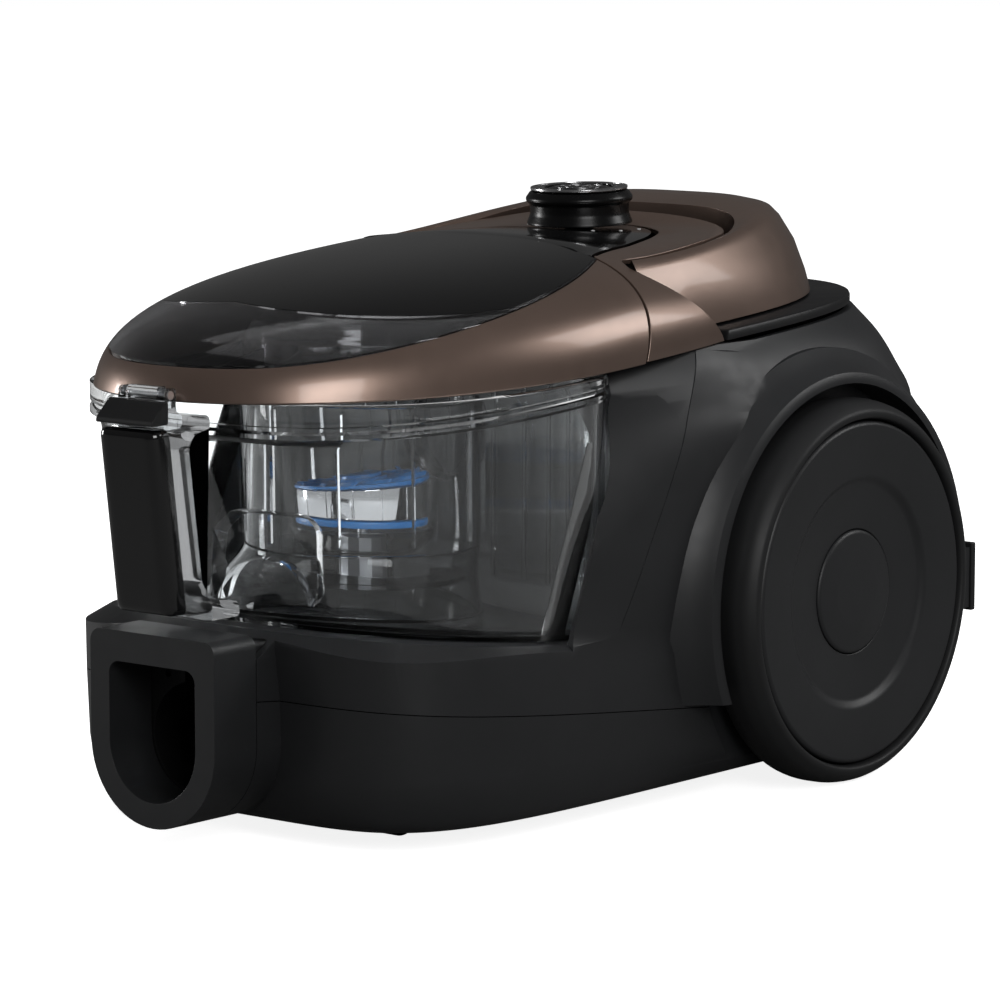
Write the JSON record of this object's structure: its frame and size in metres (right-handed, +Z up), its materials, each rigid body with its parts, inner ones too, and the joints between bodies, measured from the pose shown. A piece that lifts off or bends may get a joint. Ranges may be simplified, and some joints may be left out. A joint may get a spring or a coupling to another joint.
{
  "type": "canister vacuum cleaner",
  "caption": "Low canister vacuum cleaner with a clear front cyclone bin under a domed lid, large rear wheels, a carry handle, a top knob and a round-bottomed hose inlet.",
  "frame": {"origin": "on the floor under the middle of the machine's bounding box", "axes": "+X to the machine's right-hand side as seen from its front, -Y out of the hose inlet at the front, +Y to the rear, +Z up"},
  "size_m": [0.2612, 0.406, 0.2444],
  "materials": {
    "charcoal_plastic": "fine satin moulded grain",
    "dark_plastic": "satin",
    "gloss_black": "piano black gloss",
    "bronze_paint": "satin metallic paint",
    "silver_trim": "satin plated",
    "clear_plastic": "clear gloss",
    "smoked_plastic": "smoked clear gloss",
    "blue_plastic": "gloss",
    "chrome": "polished",
    "rubber": "matt",
    "steel": "machined",
    "filter_foam": "open cell foam",
    "filter_paper": "pleated paper",
    "circuit_board": "solder mask"
  },
  "bodies": {
    "body": {"base_pan": "charcoal_plastic", "upper_housing": "charcoal_plastic", "inlet_bezel": "charcoal_plastic", "hose_socket": "dark_plastic", "inlet_duct": "dark_plastic", "axle_right": "steel", "axle_left": "steel", "rear_cover": "bronze_paint", "control_panel": "gloss_black", "rear_tray": "gloss_black", "handle_pin_right": "steel", "handle_pin_left": "steel", "motor_casing": "dark_plastic", "motor_stator": "steel", "motor_mount_front": "rubber", "motor_cradle": "dark_plastic", "inlet_filter_frame": "dark_plastic", "inlet_filter": "filter_foam", "exhaust_filter": "filter_paper", "exhaust_grille": "charcoal_plastic", "reel_axle": "steel", "cord_gland": "dark_plastic", "control_board": "circuit_board", "speed_potentiometer": "dark_plastic", "rear_foot_right": "rubber", "rear_foot_left": "rubber"},
    "wheel_right": {"wheel_right_tyre": "rubber", "wheel_right_disc": "charcoal_plastic", "wheel_right_cap": "charcoal_plastic"},
    "wheel_left": {"wheel_left_tyre": "rubber", "wheel_left_disc": "charcoal_plastic", "wheel_left_cap": "charcoal_plastic"},
    "caster_right": {"caster_right_fork": "dark_plastic"},
    "caster_left": {"caster_left_fork": "dark_plastic"},
    "roller_right": {"caster_right_roller": "rubber"},
    "roller_left": {"caster_left_roller": "rubber"},
    "knob": {"power_knob": "gloss_black", "knob_ring": "silver_trim"},
    "power_button": {"power_button": "gloss_black"},
    "rewind_button": {"rewind_button": "gloss_black"},
    "handle": {"carry_handle": "bronze_paint"},
    "bin": {"bin_shell": "clear_plastic", "cyclone_wall": "clear_plastic", "cyclone_skirt": "clear_plastic", "spiral_ramp": "clear_plastic", "turbine_bowl": "clear_plastic", "turbine_post": "steel", "grip_cover": "gloss_black", "grip_bracket": "clear_plastic", "lid_hinge_pin": "steel"},
    "lid": {"lid_ring": "bronze_paint", "lid_window": "smoked_plastic", "lid_dome": "gloss_black", "lid_hinge_knuckle": "clear_plastic"},
    "release_button": {"release_button": "dark_plastic"},
    "turbine": {"turbine_rotor": "blue_plastic", "turbine_band": "chrome", "turbine_blades": "blue_plastic"},
    "motor_rotor": {"motor_rotor": "steel"},
    "cord_reel": {"cord_reel": "dark_plastic"}
  },
  "joints": [
    {"name": "wheel_right_spin", "type": "hinge", "parent": "body", "child": "wheel_right", "pos_m": [0.1185, 0.1, 0.08], "axis": [1, 0, 0], "continuous": true},
    {"name": "wheel_left_spin", "type": "hinge", "parent": "body", "child": "wheel_left", "pos_m": [-0.1185, 0.1, 0.08], "axis": [1, 0, 0], "continuous": true},
    {"name": "caster_right_swivel", "type": "hinge", "parent": "body", "child": "caster_right", "pos_m": [0.046, -0.109, 0.02], "axis": [0, 0, 1], "continuous": true},
    {"name": "caster_left_swivel", "type": "hinge", "parent": "body", "child": "caster_left", "pos_m": [-0.046, -0.109, 0.02], "axis": [0, 0, 1], "continuous": true},
    {"name": "roller_right_spin", "type": "hinge", "parent": "caster_right", "child": "roller_right", "pos_m": [0.046, -0.101, 0.0105], "axis": [1, 0, 0], "continuous": true},
    {"name": "roller_left_spin", "type": "hinge", "parent": "caster_left", "child": "roller_left", "pos_m": [-0.046, -0.101, 0.0105], "axis": [1, 0, 0], "continuous": true},
    {"name": "knob_turn", "type": "hinge", "parent": "body", "child": "knob", "pos_m": [0, 0.0747, 0.2275], "axis": [0, -0.0349, 0.9994], "range_deg": [0, 270]},
    {"name": "power_button_press", "type": "slide", "parent": "body", "child": "power_button", "axis": [0, 0.0349, -0.9994], "range_m": [0, 0.0015], "stiffness_N_per_m": 600},
    {"name": "rewind_button_press", "type": "slide", "parent": "body", "child": "rewind_button", "axis": [0, 0, -1], "range_m": [0, 0.003], "stiffness_N_per_m": 500},
    {"name": "handle_lift", "type": "hinge", "parent": "body", "child": "handle", "pos_m": [0, 0.03, 0.211], "axis": [1, 0, 0], "range_deg": [0, 75]},
    {"name": "bin_lift", "type": "slide", "parent": "body", "child": "bin", "axis": [0, -0.5, 0.866], "range_m": [0, 0.2]},
    {"name": "lid_open", "type": "hinge", "parent": "bin", "child": "lid", "pos_m": [0, -0.1896, 0.1784], "axis": [1, 0, 0], "range_deg": [0, 75]},
    {"name": "release_press", "type": "slide", "parent": "bin", "child": "release_button", "axis": [0, 0, -1], "range_m": [0, 0.0012], "stiffness_N_per_m": 800},
    {"name": "turbine_spin", "type": "hinge", "parent": "bin", "child": "turbine", "pos_m": [0, -0.065, 0.127], "axis": [0, 0, 1], "continuous": true},
    {"name": "motor_spin", "type": "hinge", "parent": "body", "child": "motor_rotor", "pos_m": [0.032, 0.08, 0.084], "axis": [0, 1, 0], "continuous": true},
    {"name": "reel_spin", "type": "hinge", "parent": "body", "child": "cord_reel", "pos_m": [-0.052, 0.098, 0.092], "axis": [1, 0, 0], "continuous": true}
  ]
}
